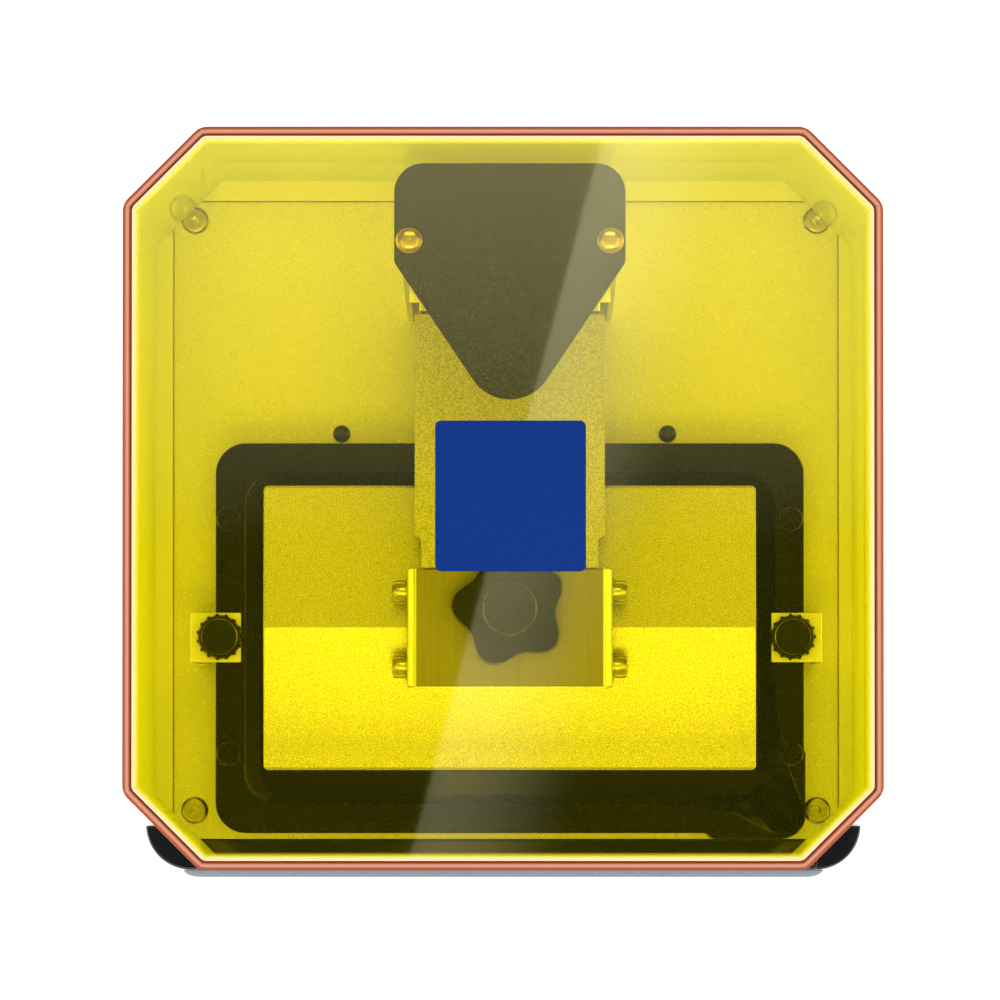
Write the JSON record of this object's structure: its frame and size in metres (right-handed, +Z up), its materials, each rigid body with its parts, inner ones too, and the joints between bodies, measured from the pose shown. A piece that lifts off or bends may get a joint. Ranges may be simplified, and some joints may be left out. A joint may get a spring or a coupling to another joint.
{
  "type": "desktop resin 3d printer",
  "caption": "Desktop resin printer with a lift-off tinted octagonal cover, a vat clamped on a deck, and a build plate on a cantilever arm that a lead screw raises.",
  "frame": {"origin": "on the floor, under the middle of the machine's outline", "axes": "+Z up, -Y towards the front with the touch screen, +X to the right seen from the front"},
  "size_m": [0.222, 0.2223, 0.3833],
  "materials": {
    "housing": "satin silver powder coat",
    "bezel": "piano black gloss",
    "fascia": "satin blue-grey",
    "screen": "black glass",
    "black_metal": "matte black powder coat",
    "rubber": "matte",
    "deck": "bead-blasted, clear anodised",
    "screws": "polished steel",
    "brass": "turned brass",
    "panel_glass": "black glass",
    "hood": "matte white",
    "clear": "clear",
    "board": "green solder mask",
    "sink": "extruded",
    "black_plastic": "matte black moulding",
    "knob_plastic": "satin black moulding",
    "steel": "ground steel",
    "tower": "bead-blasted",
    "cap": "fine-textured black powder coat with silver fleck",
    "arm": "bead-blasted sheet",
    "bracket": "brushed front to back",
    "plate": "bead-blasted, machined edges",
    "vat": "black anodised",
    "cover": "clear yellow acrylic",
    "label": "plain blue film"
  },
  "bodies": {
    "root": {"main_housing": "housing", "front_bezel": "bezel", "front_fascia": "fascia", "touch_screen": "screen", "bottom_plate": "black_metal", "foot_front_left": "rubber", "foot_front_right": "rubber", "foot_rear_left": "rubber", "foot_rear_right": "rubber", "deck_plate": "deck", "deck_screw_front_left": "screws", "deck_screw_front_right": "screws", "deck_screw_rear_left": "screws", "deck_screw_rear_right": "screws", "lcd_panel": "panel_glass", "light_hood": "hood", "lens_array": "clear", "led_board": "board", "heat_sink": "sink", "fan_frame": "black_plastic", "fan_guard": "steel", "mainboard": "board", "power_inlet": "black_plastic", "power_switch_body": "black_plastic", "usb_port": "steel", "z_motor": "black_metal", "motor_mount": "steel", "tower_frame": "tower", "guide_rail": "steel", "tower_top_plate": "tower", "top_bearing": "steel", "tower_cap": "cap", "cap_screw_left": "brass", "cap_screw_right": "brass", "vat_bracket_left": "tower", "vat_bracket_right": "tower"},
    "cover": {"cover_shell": "cover", "cover_label": "label"},
    "lead_screw_body": {"lead_screw": "steel", "shaft_coupler": "tower"},
    "carriage": {"rail_carriage": "steel", "carriage_block": "tower", "lead_nut": "brass", "arm_shell": "arm", "arm_tongue": "steel"},
    "platform_mount": {"platform_bracket": "bracket"},
    "platform": {"platform_block": "plate", "build_plate": "plate", "level_screw_front_left": "screws", "level_screw_front_right": "screws", "level_screw_rear_left": "screws", "level_screw_rear_right": "screws"},
    "star_knob_body": {"star_knob": "knob_plastic"},
    "vat": {"vat_frame": "vat", "film_ring": "screws", "vat_film": "clear"},
    "thumb_screw_left_body": {"thumb_screw_left": "knob_plastic"},
    "thumb_screw_right_body": {"thumb_screw_right": "knob_plastic"},
    "fan_rotor_body": {"fan_rotor": "black_plastic"},
    "power_rocker_body": {"power_rocker": "knob_plastic"}
  },
  "joints": [
    {"name": "cover_lift", "type": "slide", "parent": "root", "child": "cover", "axis": [0, 0, 1], "range_m": [0, 0.24]},
    {"name": "z_travel", "type": "slide", "parent": "root", "child": "carriage", "axis": [0, 0, 1], "range_m": [-0.034, 0.122]},
    {"name": "lead_screw_turn", "type": "hinge", "parent": "root", "child": "lead_screw_body", "pos_m": [0.002, 0.07, 0.25], "axis": [0, 0, 1], "continuous": true},
    {"name": "platform_slide_off", "type": "slide", "parent": "carriage", "child": "platform_mount", "axis": [0, -1, 0], "range_m": [0, 0.025]},
    {"name": "platform_level", "type": "hinge", "parent": "platform_mount", "child": "platform", "pos_m": [0.002, -0.035, 0.22], "axis": [1, 0, 0], "range_deg": [-1.5, 1.5]},
    {"name": "star_knob_turn", "type": "hinge", "parent": "platform_mount", "child": "star_knob_body", "pos_m": [0.002, -0.0292, 0.24], "axis": [0, 0, 1], "range_deg": [0, 720]},
    {"name": "vat_slide_out", "type": "slide", "parent": "root", "child": "vat", "axis": [0, -1, 0], "range_m": [0, 0.004]},
    {"name": "thumb_screw_left_turn", "type": "hinge", "parent": "root", "child": "thumb_screw_left_body", "pos_m": [-0.0872, -0.037, 0.2], "axis": [0, 0, 1], "range_deg": [0, 1080]},
    {"name": "thumb_screw_right_turn", "type": "hinge", "parent": "root", "child": "thumb_screw_right_body", "pos_m": [0.089, -0.037, 0.2], "axis": [0, 0, 1], "range_deg": [0, 1080]},
    {"name": "fan_turn", "type": "hinge", "parent": "root", "child": "fan_rotor_body", "pos_m": [-0.048, 0.0972, 0.08], "axis": [0, 1, 0], "continuous": true},
    {"name": "power_rocker_tilt", "type": "hinge", "parent": "root", "child": "power_rocker_body", "pos_m": [0.047, 0.1093, 0.041], "axis": [0, 0, 1], "range_deg": [0, 16]}
  ],
  "couplings": [
    {"joint": "lead_screw_turn", "follows": "z_travel", "rad_per_m": -785.4}
  ]
}
